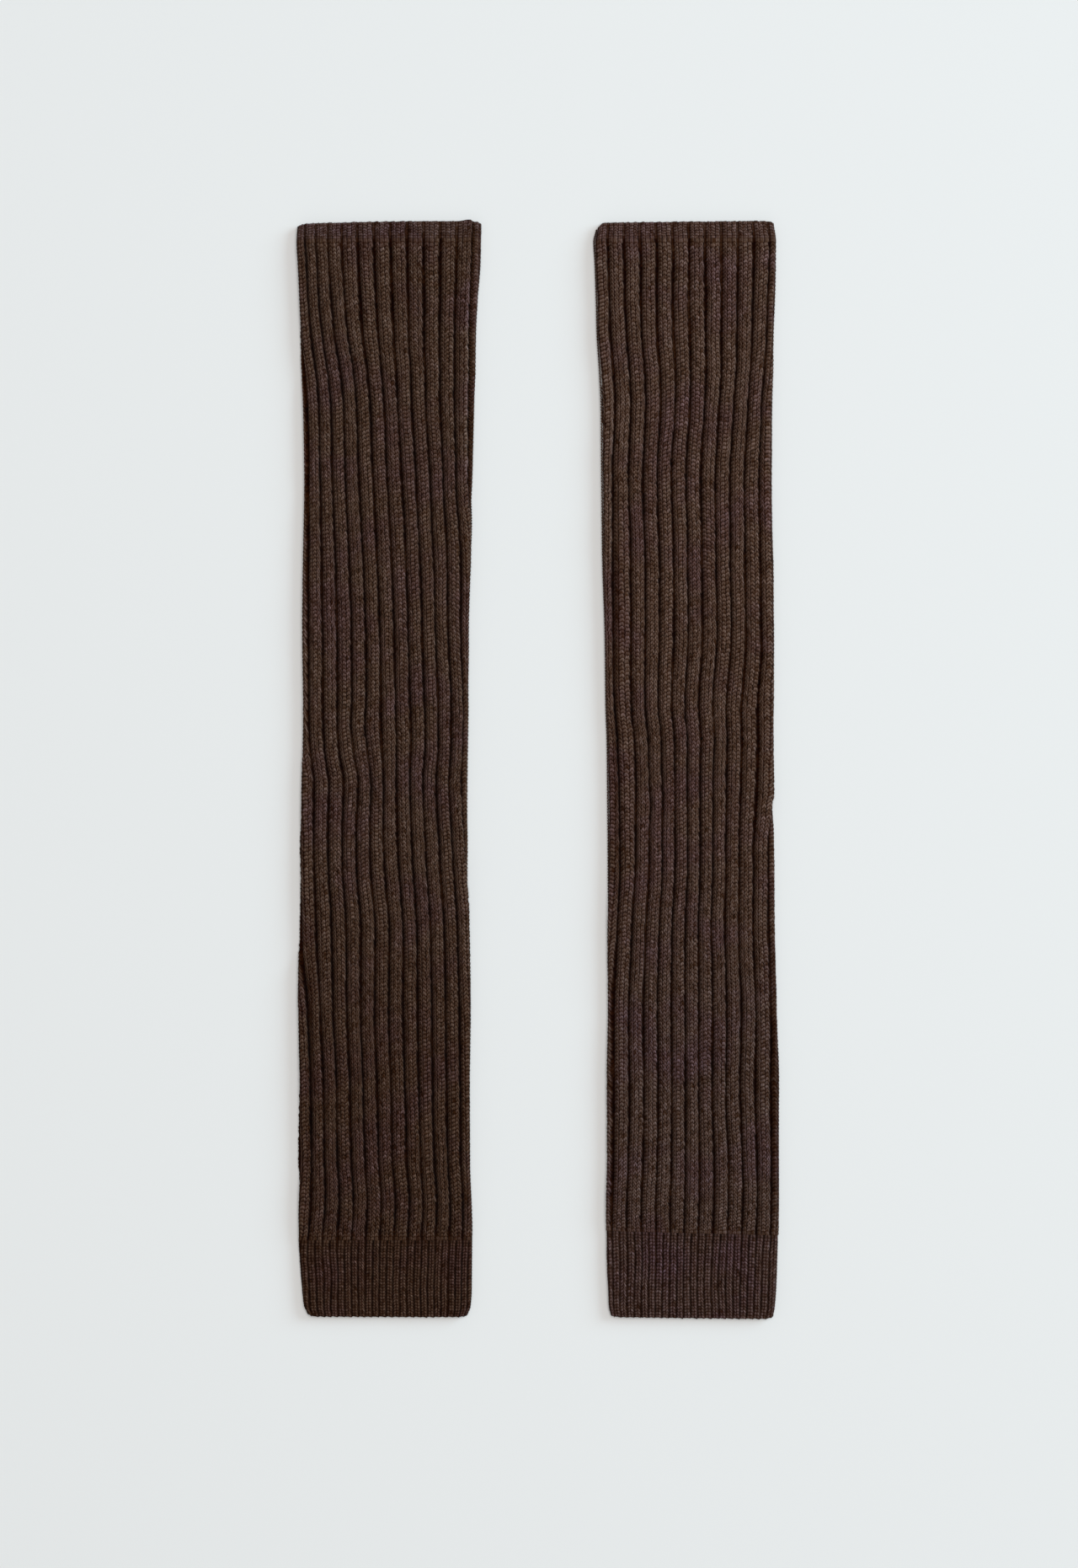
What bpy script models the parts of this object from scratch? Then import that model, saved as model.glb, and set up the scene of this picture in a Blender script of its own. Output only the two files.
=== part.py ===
"""A pair of knitted leg warmers laid flat side by side. Each is a ribbed tube with a band at the top and a
fine-rib cuff at the hem, pressed flat so that its front lies on its back.

+X is to the right and +Y towards the bands. The undersides lie in the plane z = 0.
"""

import math
from collections import namedtuple

import bmesh
import bpy
import numpy as np

PAIR_NAME = "leg_warmers"
MM = 0.001

# Driving sizes, in metres.
LENGTH = 0.620
BAND_END = 0.010
CUFF_START = 0.576
CENTRE_X = {"left": -0.0861, "right": 0.0869}
SEAM_GAP = 0.0003

# The wall of the tube. Its base is the level of the rib valleys.
UNDER_WALL = 0.0018
FRONT_WALL = 0.0015
SIDE_WALL = 0.0020

# Ribs all round each tube, counted in wide ribs. A cuff has two fine ribs in the place of a wide one.
RIBS_AROUND = 25
FINE_PER_WIDE = 2
RIB_ROUNDNESS = 0.6
MEAN_RIB_HEIGHT = 0.75
TRACKED_RIB = 8
FRONT_STEPS = (0.0, 0.2, 0.5, 0.8)
FOLD_STEPS = (0.0, 0.15, 0.32, 0.5, 0.68, 0.85)
FINE_STEPS = (0.0, 0.15, 0.35, 0.5, 0.65, 0.85)
UNDER_STEPS = (0.0,)
FRONT_RIBS = range(3, 12)
UNDER_RIBS = range(16, 24)

INNER_POINTS = 28
ALONG_SAMPLES = 160

# One row for each measured height of the tube. Down is from the top edge, and left, right and valley are from
# the tube's centre line, all in millimetres. Valley is the place of the tracked rib's valley and pitch the
# rib width there, and first and last are the rib counts at the left and right folds.
Section = namedtuple("Section", "down left right first valley pitch last")

SECTIONS = {
    "left": (
        Section(0, -50.0, 54.1, 1.90, -6.2, 9.4, 14.50),
        Section(10, -50.4, 53.9, 1.93, -6.2, 9.4, 14.49),
        Section(25, -49.6, 53.4, 1.96, -5.9, 9.3, 14.47),
        Section(45, -48.7, 52.0, 1.96, -5.0, 9.1, 14.44),
        Section(65, -48.0, 51.0, 1.83, -3.8, 8.7, 14.41),
        Section(85, -47.0, 50.8, 1.71, -1.7, 8.1, 14.38),
        Section(105, -46.1, 50.1, 1.60, -0.4, 7.8, 14.35),
        Section(145, -45.4, 49.1, 1.60, 1.4, 8.1, 14.35),
        Section(190, -46.2, 48.0, 1.50, 3.8, 8.1, 13.90),
        Section(235, -46.8, 46.7, 1.50, 5.4, 8.0, 13.79),
        Section(275, -46.3, 46.7, 1.50, 6.2, 8.3, 13.55),
        Section(297, -46.4, 46.3, 1.42, 6.7, 8.2, 13.52),
        Section(318, -47.7, 46.0, 1.05, 6.7, 7.5, 13.48),
        Section(360, -48.6, 46.7, 0.90, 7.6, 7.9, 13.21),
        Section(405, -48.6, 47.6, 0.84, 10.5, 7.9, 13.02),
        Section(447, -49.2, 47.8, 0.12, 10.5, 8.1, 12.80),
        Section(490, -49.2, 47.4, -0.10, 11.4, 7.9, 12.75),
        Section(533, -49.1, 47.5, -0.15, 12.4, 7.9, 12.70),
        Section(555, -49.2, 48.4, 0.01, 13.8, 7.9, 12.75),
        Section(576, -49.0, 48.9, 0.26, 13.0, 7.9, 12.85),
        Section(585, -48.5, 48.8, 0.37, 12.6, 7.9, 12.89),
        Section(605, -47.1, 48.6, 0.40, 12.4, 7.9, 12.90),
        Section(615, -46.2, 47.9, 0.40, 12.4, 7.9, 12.90),
        Section(620, -44.6, 46.4, 0.40, 12.4, 7.9, 12.90),
    ),
    "right": (
        Section(0, -53.4, 46.5, 2.05, -1.4, 9.2, 13.40),
        Section(10, -55.0, 47.6, 2.05, -1.2, 9.2, 13.42),
        Section(25, -54.3, 47.4, 2.05, -1.0, 9.2, 13.44),
        Section(45, -53.6, 46.8, 2.00, -1.0, 9.2, 13.47),
        Section(65, -53.1, 46.2, 2.00, -0.8, 9.1, 13.53),
        Section(85, -51.8, 46.0, 1.95, -0.1, 8.7, 13.66),
        Section(105, -51.0, 45.3, 1.90, -0.5, 8.3, 13.78),
        Section(145, -50.5, 44.9, 1.95, -2.7, 8.2, 13.78),
        Section(190, -50.0, 45.8, 2.00, -1.9, 8.0, 13.97),
        Section(235, -48.6, 46.3, 2.00, -1.5, 8.1, 14.31),
        Section(275, -48.1, 46.2, 2.00, -3.3, 7.5, 14.40),
        Section(297, -47.4, 46.2, 2.00, -1.9, 7.3, 14.40),
        Section(318, -47.2, 46.5, 2.00, -1.9, 7.1, 14.40),
        Section(360, -46.9, 46.7, 2.05, -1.9, 7.1, 14.39),
        Section(405, -47.1, 47.2, 2.25, -3.3, 7.4, 14.38),
        Section(447, -46.9, 48.1, 2.55, -3.3, 7.8, 14.38),
        Section(490, -47.6, 49.1, 2.53, -3.3, 7.6, 14.50),
        Section(533, -47.5, 49.1, 2.51, -2.9, 8.0, 14.50),
        Section(555, -47.9, 49.1, 2.50, -3.4, 8.2, 14.50),
        Section(576, -48.1, 49.1, 2.47, -3.8, 8.1, 14.60),
        Section(585, -48.1, 48.8, 2.45, -4.2, 8.1, 14.64),
        Section(605, -47.3, 48.0, 2.45, -4.3, 8.1, 14.65),
        Section(615, -46.9, 47.2, 2.45, -4.3, 8.1, 14.65),
        Section(620, -45.9, 46.4, 2.45, -4.3, 8.1, 14.65),
    ),
}

# How thick the flat tube lies at the rib valleys, and how far its ribs stand out, in millimetres.
Loft = namedtuple("Loft", "down thickness relief")

LOFTS = (
    Loft(0, 4.4, 0.7),
    Loft(4, 4.7, 1.1),
    Loft(10, 4.8, 1.3),
    Loft(18, 4.9, 1.8),
    Loft(30, 5.0, 2.0),
    Loft(300, 5.0, 2.0),
    Loft(560, 5.0, 2.0),
    Loft(574, 4.8, 1.5),
    Loft(577, 4.7, 0.9),
    Loft(600, 4.6, 0.9),
    Loft(616, 4.5, 0.8),
    Loft(620, 4.3, 0.6),
)

# Where ribs are pushed sideways: the rib, its distance down, the ribs and millimetres that it fades over, and
# the push.
Kink = namedtuple("Kink", "rib down ribs reach push")

KINKS = {
    "left": (
        Kink(5.0, 318, 1.5, 14, 0.9),
        Kink(13.5, 230, 1.2, 60, 0.8),
    ),
    "right": (
        Kink(3.0, 240, 0.6, 120, -2.4),
        Kink(9.5, 285, 0.9, 14, 0.9),
        Kink(5.2, 331, 0.9, 10, 0.8),
    ),
}

# Soft troughs and ridges of the front: centre, half sizes across and along, lean to the right over one
# millimetre down, and height, all in millimetres.
Fold = namedtuple("Fold", "x down across along lean height")

FOLDS = {
    "left": (
        Fold(-13.0, 283, 3.2, 26, 0.06, -1.1),
        Fold(-8.5, 300, 7.0, 7, 0.0, 0.7),
        Fold(-7.5, 322, 3.0, 16, 0.1, -0.7),
        Fold(46.0, 70, 3.5, 80, -0.04, 0.8),
        Fold(41.0, 75, 2.4, 75, -0.04, -0.7),
        Fold(-42.3, 490, 2.4, 85, 0.0, -1.0),
        Fold(20.0, 160, 22.0, 60, 0.0, 0.5),
        Fold(-20.0, 420, 24.0, 50, 0.0, 0.5),
    ),
    "right": (
        Fold(-44.5, 260, 2.6, 120, 0.0, -0.8),
        Fold(17.0, 284, 3.6, 13, 0.0, -0.8),
        Fold(-25.0, 331, 4.0, 6, 0.0, -0.8),
        Fold(4.8, 380, 2.6, 16, 0.0, -1.0),
        Fold(45.8, 490, 2.2, 85, 0.0, -0.9),
        Fold(-10.0, 180, 24.0, 60, 0.0, 0.5),
        Fold(12.0, 460, 20.0, 60, 0.0, 0.5),
    ),
}

# Heights of the rings of each piece, in millimetres down.
BAND_RINGS = (0, 2.5, 6, BAND_END / MM)
LEG_RINGS = (BAND_END / MM, 18, 30, 50, 75, 100, 130, 165, 200, 235, 262, 283, 300, 318, 335, 362,
             390, 425, 460, 495, 530, 556, 568, CUFF_START / MM)
CUFF_RINGS = (CUFF_START / MM, 581, 592, 606, 615, LENGTH / MM)

# The band's edge bows down from its middle to its corners, and its corners are rounded off, in metres.
Ends = namedtuple("Ends", "left right")
EDGE_BOW = {"left": 0.0012, "right": 0.0005}
CORNER_DROP = {"left": Ends(0.0020, 0.0020), "right": Ends(0.0034, 0.0012)}
CORNER_POWER = 14
EDGE_REACH = 0.012
HEM_DROP = 0.0006

# How much higher than CUFF_START the line between leg and cuff runs at the folds, and how far the shift fades
# over.
CUFF_LINE = {"left": Ends(0.0, 0.0), "right": Ends(0.0052, 0.0028)}
CUFF_LINE_REACH = 0.021

# Screen colours of the dry yarn, each from 0 to 1.
YARN = {
    "left_band": (0.300, 0.230, 0.205),
    "left_leg": (0.290, 0.220, 0.195),
    "left_cuff": (0.270, 0.200, 0.170),
    "right_band": (0.320, 0.245, 0.215),
    "right_leg": (0.310, 0.238, 0.208),
    "right_cuff": (0.300, 0.230, 0.205),
}
YARN_ROUGHNESS = 0.95


def clear_scene():
    """Remove whatever objects the file opened with."""
    for thing in list(bpy.data.objects):
        bpy.data.objects.remove(thing, do_unlink=True)


def column_at(rows, name, down):
    """A table column at a distance down in metres, eased smoothly between its rows, in the table's unit."""
    downs = np.array([row.down for row in rows], dtype=float)
    values = np.array([getattr(row, name) for row in rows], dtype=float)
    steps = np.diff(values) / np.diff(downs)
    products = np.maximum(steps[:-1] * steps[1:], 0.0)
    sums = np.where(products > 0, steps[:-1] + steps[1:], 1.0)
    slopes = np.concatenate(([0.0], 2 * products / sums, [0.0]))
    place = min(max(down / MM, downs[0]), downs[-1])
    low = min(int(np.searchsorted(downs, place, side="right")) - 1, len(downs) - 2)
    span = downs[low + 1] - downs[low]
    t = (place - downs[low]) / span
    return (
        values[low] * (1 + 2 * t) * (1 - t) ** 2
        + values[low + 1] * t * t * (3 - 2 * t)
        + slopes[low] * span * t * (1 - t) ** 2
        - slopes[low + 1] * span * t * t * (1 - t)
    )


def ease(value, low, high):
    """0 below low, 1 above high and a smooth step between them."""
    t = min(max((value - low) / (high - low), 0.0), 1.0)
    return t * t * (3 - 2 * t)


def rib_height(phase):
    """The round top of a rib across one count of its phase, from 0 at a valley to 1 at the crest."""
    return abs(math.sin(math.pi * phase)) ** RIB_ROUNDNESS


def facing_share(normal_z):
    """How much of the ribs shows on a stretch of the oval: all on the front and none where it rests."""
    return ease(normal_z, -0.8, 0.9)


class FlatTube:
    """The oval section of one leg warmer at a distance down it, and the rib counts round it."""

    def __init__(self, side, down):
        rows = SECTIONS[side]
        self.side = side
        self.down = down
        self.thickness = column_at(LOFTS, "thickness", down) * MM
        self.relief = column_at(LOFTS, "relief", down) * MM
        side_relief = self.relief * facing_share(0.0) * MEAN_RIB_HEIGHT
        self.left = column_at(rows, "left", down) * MM + side_relief
        self.right = column_at(rows, "right", down) * MM - side_relief
        self.radius = self.thickness / 2
        self.front = self.right - self.left - self.thickness + math.pi * self.radius
        self.count_ribs(rows)

    def count_ribs(self, rows):
        """Tabulate the rib count against the length round the oval from the left fold over the front."""
        first = column_at(rows, "first", self.down)
        last = column_at(rows, "last", self.down)
        pitch = column_at(rows, "pitch", self.down) * MM
        valley = column_at(rows, "valley", self.down) * MM
        quarter = math.pi * self.radius / 2
        tracked = valley - self.left - self.radius + quarter
        beyond = self.front - tracked
        squeeze_left = (TRACKED_RIB - tracked / pitch - first) / tracked**3
        squeeze_right = (last - TRACKED_RIB - beyond / pitch) / beyond**3
        self.lengths = np.linspace(0.0, 2 * self.front, 2 * ALONG_SAMPLES + 1)
        offset = self.lengths - tracked
        squeeze = np.where(offset < 0, squeeze_left, squeeze_right)
        over = TRACKED_RIB + offset / pitch + squeeze * offset**3
        under = last + (self.lengths - self.front) / self.front * (first + RIBS_AROUND - last)
        self.counts = np.where(self.lengths <= self.front, over, under)
        self.first = first

    def length_at(self, phase):
        """Length round the oval of a rib count, with the pushes of the kinks."""
        count = self.first + (phase - self.first) % RIBS_AROUND
        length = float(np.interp(count, self.counts, self.lengths))
        for kink in KINKS[self.side]:
            across = (count - kink.rib) / kink.ribs
            along = (self.down / MM - kink.down) / kink.reach
            length += kink.push * MM * math.exp(-across * across - along * along)
        return length

    def oval_point(self, length, inset, floor, thickness):
        """Point and outward normal of an oval drawn inside this one, at a length round this one."""
        length = length % (2 * self.front)
        under = length > self.front
        if under:
            length = 2 * self.front - length
        quarter = math.pi * self.radius / 2
        radius = thickness / 2
        low = self.left + inset + radius
        high = self.right - inset - radius
        if length < quarter:
            angle = math.pi - length / self.radius
            x = low
        elif length > self.front - quarter:
            angle = (self.front - length) / self.radius
            x = high
        else:
            angle = math.pi / 2
            x = low + (high - low) * (length - quarter) / (self.front - 2 * quarter)
        turn = -1 if under else 1
        normal = (math.cos(angle), turn * math.sin(angle))
        return x + radius * normal[0], floor + radius + radius * normal[1], normal

    def front_lift(self, x):
        """Height that the folds add to the front at a place across the tube."""
        lift = 0.0
        for fold in FOLDS[self.side]:
            along = self.down / MM - fold.down
            across = x / MM - fold.x - fold.lean * along
            lift += fold.height * MM * math.exp(-((across / fold.across) ** 2) - (along / fold.along) ** 2)
        return lift

    def shift_down(self, x):
        """How far the shapes of the edges and the cuff's line shift a section down, at a place across it."""
        share = (2 * x - self.left - self.right) / (self.right - self.left)
        share = min(max(share, -1.0), 1.0)
        drop = CORNER_DROP[self.side].left if share < 0 else CORNER_DROP[self.side].right
        bow = EDGE_BOW[self.side] * share**2 + drop * abs(share) ** CORNER_POWER
        hem = HEM_DROP * abs(share) ** CORNER_POWER
        top_fade = math.exp(-self.down / EDGE_REACH)
        hem_fade = math.exp((self.down - LENGTH) / EDGE_REACH)
        line = CUFF_LINE[self.side]
        raised = (line.left + line.right + (line.right - line.left) * share) / 2
        line_fade = math.exp(-(((self.down - CUFF_START) / CUFF_LINE_REACH) ** 2))
        return bow * top_fade - hem * hem_fade - raised * line_fade

    def place(self, x, z, normal):
        """A point of the section in the tube's own frame, with the folds and the shape of the edges."""
        lifted = z + self.front_lift(x) * ease(normal[1], -0.2, 0.8)
        return x, LENGTH / 2 - self.down - self.shift_down(x), max(lifted, 0.0)

    def outer_ring(self, steps_of, ribs_per_count):
        """Points of the ribbed outer side, each with its share of the way round."""
        ring = []
        for rib in range(RIBS_AROUND):
            for step in steps_of(rib):
                length = self.length_at(rib + step)
                x, z, normal = self.oval_point(length, 0.0, 0.0, self.thickness)
                raised = self.relief * rib_height((rib + step) * ribs_per_count) * facing_share(normal[1])
                point = self.place(x + raised * normal[0], z + raised * normal[1], normal)
                ring.append((length / (2 * self.front) % 1.0, point))
        return ring

    def inner_ring(self):
        """Points of the plain inner side, each with its share of the way round."""
        ring = []
        for index in range(INNER_POINTS):
            share = index / INNER_POINTS
            opening = self.thickness - UNDER_WALL - FRONT_WALL
            x, z, normal = self.oval_point(share * 2 * self.front, SIDE_WALL, UNDER_WALL, opening)
            ring.append((share, self.place(x, z, normal)))
        return ring


def wide_steps(rib):
    """Phases at which a wide rib is drawn: closest where it turns round a fold, and one where it is under."""
    if rib in UNDER_RIBS:
        return UNDER_STEPS
    return FRONT_STEPS if rib in FRONT_RIBS else FOLD_STEPS


def fine_steps(rib):
    """Phases at which the two fine ribs in the place of a wide one are drawn."""
    return UNDER_STEPS if rib in UNDER_RIBS else FINE_STEPS


def add_wall(mesh, rings):
    """Faces between equal rings, each joined to the next."""
    loops = [[mesh.verts.new(point) for _, point in ring] for ring in rings]
    for upper, lower in zip(loops, loops[1:]):
        for index in range(len(upper)):
            after = (index + 1) % len(upper)
            mesh.faces.new((upper[index], upper[after], lower[after], lower[index]))
    return loops


def turned_to_start(ring, loop):
    """The vertices of a ring in order of their share of the way round."""
    order = sorted(range(len(ring)), key=lambda index: ring[index][0])
    return [(ring[index][0], loop[index]) for index in order]


def add_rim(mesh, outer, inner):
    """Triangles between an outer and an inner ring, which need not have the same number of points."""
    outer = outer + [(outer[0][0] + 1.0, outer[0][1])]
    inner = inner + [(inner[0][0] + 1.0, inner[0][1])]
    a = b = 0
    while a < len(outer) - 1 or b < len(inner) - 1:
        step_outer = b == len(inner) - 1 or (a < len(outer) - 1 and outer[a + 1][0] <= inner[b + 1][0])
        if step_outer:
            mesh.faces.new((outer[a][1], outer[a + 1][1], inner[b][1]))
            a += 1
        else:
            mesh.faces.new((outer[a][1], inner[b + 1][1], inner[b][1]))
            b += 1


def inner_downs(downs):
    """Every other ring of a piece, with both its ends."""
    kept = list(downs[::2])
    if kept[-1] != downs[-1]:
        kept.append(downs[-1])
    return kept


def piece_downs(rings):
    """Distances down of a piece's rings in metres, drawn in by half the seam gap where it meets another."""
    downs = [ring * MM for ring in rings]
    if downs[0] > 0:
        downs[0] += SEAM_GAP / 2
    if downs[-1] < LENGTH - SEAM_GAP:
        downs[-1] -= SEAM_GAP / 2
    return downs


def knit_material(name):
    """Matt yarn in the piece's own shade."""
    material = bpy.data.materials.new(name + "_knit")
    material.use_nodes = True
    shader = material.node_tree.nodes["Principled BSDF"]
    linear = [((value + 0.055) / 1.055) ** 2.4 for value in YARN[name]]
    shader.inputs["Base Color"].default_value = (*linear, 1.0)
    shader.inputs["Roughness"].default_value = YARN_ROUGHNESS
    shader.inputs["Metallic"].default_value = 0.0
    return material


def knit_piece(side, part, rings, steps_of, ribs_per_count, collection, parent):
    """One open-ended stretch of a leg warmer: a ribbed outer wall, a plain inner wall and two rims."""
    name = f"{side}_{part}"
    downs = piece_downs(rings)
    outer_rings = [FlatTube(side, down).outer_ring(steps_of, ribs_per_count) for down in downs]
    inner_rings = [FlatTube(side, down).inner_ring() for down in inner_downs(downs)]
    mesh = bmesh.new()
    outer_loops = add_wall(mesh, outer_rings)
    inner_loops = add_wall(mesh, inner_rings)
    for end in (0, -1):
        add_rim(
            mesh,
            turned_to_start(outer_rings[end], outer_loops[end]),
            turned_to_start(inner_rings[end], inner_loops[end]),
        )
    bmesh.ops.recalc_face_normals(mesh, faces=mesh.faces[:])
    data = bpy.data.meshes.new(name)
    mesh.to_mesh(data)
    mesh.free()
    data.shade_smooth()
    data.set_sharp_from_angle(angle=math.radians(60))
    data.materials.append(knit_material(name))
    piece = bpy.data.objects.new(name, data)
    piece.parent = parent
    collection.objects.link(piece)


def build_leg_warmer(side, collection):
    """The band, leg and cuff of one side, under an empty on its centre line."""
    centre = bpy.data.objects.new(f"{side}_leg_warmer", None)
    centre.location = (CENTRE_X[side], 0.0, 0.0)
    collection.objects.link(centre)
    knit_piece(side, "band", BAND_RINGS, wide_steps, 1, collection, centre)
    knit_piece(side, "leg", LEG_RINGS, wide_steps, 1, collection, centre)
    knit_piece(side, "cuff", CUFF_RINGS, fine_steps, FINE_PER_WIDE, collection, centre)


def main():
    clear_scene()
    collection = bpy.data.collections.new(PAIR_NAME)
    bpy.context.scene.collection.children.link(collection)
    for side in CENTRE_X:
        build_leg_warmer(side, collection)
    bpy.context.view_layer.update()


main()
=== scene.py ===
import math
from collections import namedtuple

import bpy
import numpy as np
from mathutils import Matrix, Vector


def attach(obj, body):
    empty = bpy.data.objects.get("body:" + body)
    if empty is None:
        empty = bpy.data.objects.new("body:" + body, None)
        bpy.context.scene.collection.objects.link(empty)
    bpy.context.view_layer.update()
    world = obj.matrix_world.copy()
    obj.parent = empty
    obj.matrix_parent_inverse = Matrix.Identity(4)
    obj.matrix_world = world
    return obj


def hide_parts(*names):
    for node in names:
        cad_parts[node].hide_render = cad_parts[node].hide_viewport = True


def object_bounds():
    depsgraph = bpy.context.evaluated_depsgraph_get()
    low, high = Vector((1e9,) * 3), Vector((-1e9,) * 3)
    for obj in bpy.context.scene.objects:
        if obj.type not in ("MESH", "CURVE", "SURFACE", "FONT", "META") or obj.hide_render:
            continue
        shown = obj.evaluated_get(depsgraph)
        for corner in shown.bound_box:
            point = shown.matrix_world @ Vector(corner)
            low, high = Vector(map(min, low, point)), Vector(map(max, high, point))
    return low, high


# The dressed pair of leg warmers: stitched knit shells on the frame's solids, laid on a pale floor.
# +X is to the right and +Y towards the bands. Down is the distance from the top edge towards the hem.

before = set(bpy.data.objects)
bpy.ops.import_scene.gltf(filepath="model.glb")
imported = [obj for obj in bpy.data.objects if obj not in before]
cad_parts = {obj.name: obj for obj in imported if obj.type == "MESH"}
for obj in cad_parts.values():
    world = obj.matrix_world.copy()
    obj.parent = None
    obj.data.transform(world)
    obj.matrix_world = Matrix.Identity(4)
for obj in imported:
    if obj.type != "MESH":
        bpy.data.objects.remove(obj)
CAD_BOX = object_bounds()

MM = 0.001
SEED = 41
SIDE_SEEDS = 10
SEAM_SEED = SEED + 100
TOP_Y = CAD_BOX[1].y
LENGTH = CAD_BOX[1].y - CAD_BOX[0].y
SIDES = ("left", "right")
CENTRE_X = {"left": -0.0861, "right": 0.0869}

# Where the pieces of a leg warmer meet, in metres down. The leg's shell is made in two stretches.
BAND_END = 0.010
CUFF_START = 0.576

# The wall of the tube at its rib valleys, as in the solids.
UNDER_WALL = 0.0018
FRONT_WALL = 0.0015
SIDE_WALL = 0.0020

RIBS_AROUND = 25
FINE_PER_WIDE = 2
TRACKED_RIB = 8
NEWTON_STEPS = 6

# One row for each measured height of the tube, as in the solids. Down is from the top edge, and left, right
# and valley are from the tube's centre line, all in millimetres. Valley is the place of the tracked rib's
# valley and pitch the rib width there, and first and last are the rib counts at the left and right folds.
Section = namedtuple("Section", "down left right first valley pitch last")

SECTIONS = {
    "left": (
        Section(0, -50.0, 54.1, 1.90, -6.2, 9.4, 14.50),
        Section(10, -50.4, 53.9, 1.93, -6.2, 9.4, 14.49),
        Section(25, -49.6, 53.4, 1.96, -5.9, 9.3, 14.47),
        Section(45, -48.7, 52.0, 1.96, -5.0, 9.1, 14.44),
        Section(65, -48.0, 51.0, 1.83, -3.8, 8.7, 14.41),
        Section(85, -47.0, 50.8, 1.71, -1.7, 8.1, 14.38),
        Section(105, -46.1, 50.1, 1.60, -0.4, 7.8, 14.35),
        Section(145, -45.4, 49.1, 1.60, 1.4, 8.1, 14.35),
        Section(190, -46.2, 48.0, 1.50, 3.8, 8.1, 13.90),
        Section(235, -46.8, 46.7, 1.50, 5.4, 8.0, 13.79),
        Section(275, -46.3, 46.7, 1.50, 6.2, 8.3, 13.55),
        Section(297, -46.4, 46.3, 1.42, 6.7, 8.2, 13.52),
        Section(318, -47.7, 46.0, 1.05, 6.7, 7.5, 13.48),
        Section(360, -48.6, 46.7, 0.90, 7.6, 7.9, 13.21),
        Section(405, -48.6, 47.6, 0.84, 10.5, 7.9, 13.02),
        Section(447, -49.2, 47.8, 0.12, 10.5, 8.1, 12.80),
        Section(490, -49.2, 47.4, -0.10, 11.4, 7.9, 12.75),
        Section(533, -49.1, 47.5, -0.15, 12.4, 7.9, 12.70),
        Section(555, -49.2, 48.4, 0.01, 13.8, 7.9, 12.75),
        Section(576, -49.0, 48.9, 0.26, 13.0, 7.9, 12.85),
        Section(585, -48.5, 48.8, 0.37, 12.6, 7.9, 12.89),
        Section(605, -47.1, 48.6, 0.40, 12.4, 7.9, 12.90),
        Section(615, -46.2, 47.9, 0.40, 12.4, 7.9, 12.90),
        Section(620, -44.6, 46.4, 0.40, 12.4, 7.9, 12.90),
    ),
    "right": (
        Section(0, -53.4, 46.5, 2.05, -1.4, 9.2, 13.40),
        Section(10, -55.0, 47.6, 2.05, -1.2, 9.2, 13.42),
        Section(25, -54.3, 47.4, 2.05, -1.0, 9.2, 13.44),
        Section(45, -53.6, 46.8, 2.00, -1.0, 9.2, 13.47),
        Section(65, -53.1, 46.2, 2.00, -0.8, 9.1, 13.53),
        Section(85, -51.8, 46.0, 1.95, -0.1, 8.7, 13.66),
        Section(105, -51.0, 45.3, 1.90, -0.5, 8.3, 13.78),
        Section(145, -50.5, 44.9, 1.95, -2.7, 8.2, 13.78),
        Section(190, -50.0, 45.8, 2.00, -1.9, 8.0, 13.84),
        Section(235, -48.6, 46.3, 2.00, -1.5, 8.1, 13.80),
        Section(275, -48.1, 46.2, 2.00, -3.3, 7.5, 13.84),
        Section(297, -47.4, 46.2, 2.00, -1.9, 7.3, 13.88),
        Section(318, -47.2, 46.5, 2.00, -1.9, 7.1, 13.92),
        Section(360, -46.9, 46.7, 2.05, -1.9, 7.1, 14.39),
        Section(405, -47.1, 47.2, 2.25, -3.3, 7.4, 14.38),
        Section(447, -46.9, 48.1, 2.55, -3.3, 7.8, 14.38),
        Section(490, -47.6, 49.1, 2.53, -3.3, 7.6, 14.50),
        Section(533, -47.5, 49.1, 2.51, -2.9, 8.0, 14.50),
        Section(555, -47.9, 49.1, 2.50, -3.4, 8.2, 14.50),
        Section(576, -48.1, 49.1, 2.47, -3.8, 8.1, 14.60),
        Section(585, -48.1, 48.8, 2.45, -4.2, 8.1, 14.64),
        Section(605, -47.3, 48.0, 2.45, -4.3, 8.1, 14.65),
        Section(615, -46.9, 47.2, 2.45, -4.3, 8.1, 14.65),
        Section(620, -45.9, 46.4, 2.45, -4.3, 8.1, 14.65),
    ),
}

# How thick the flat tube lies at the rib valleys, how far its ribs stand out and how deep the knit's
# valleys are cut below the solid's, in millimetres.
Loft = namedtuple("Loft", "down thickness relief cut")

LOFTS = (
    Loft(0, 4.4, 0.7, 0.2),
    Loft(4, 4.7, 1.1, 0.4),
    Loft(10, 4.8, 1.3, 0.6),
    Loft(18, 4.9, 1.8, 0.8),
    Loft(30, 5.0, 2.0, 0.9),
    Loft(300, 5.0, 2.0, 0.9),
    Loft(564, 5.0, 2.0, 0.9),
    Loft(574, 4.8, 1.4, 0.5),
    Loft(578, 4.7, 0.9, 0.4),
    Loft(600, 4.6, 0.9, 0.5),
    Loft(616, 4.5, 0.8, 0.5),
    Loft(620, 4.3, 0.6, 0.3),
)

# Where ribs are pushed sideways: the rib, its distance down, the ribs and millimetres that it fades over,
# and the push.
Kink = namedtuple("Kink", "rib down ribs reach push")

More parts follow.
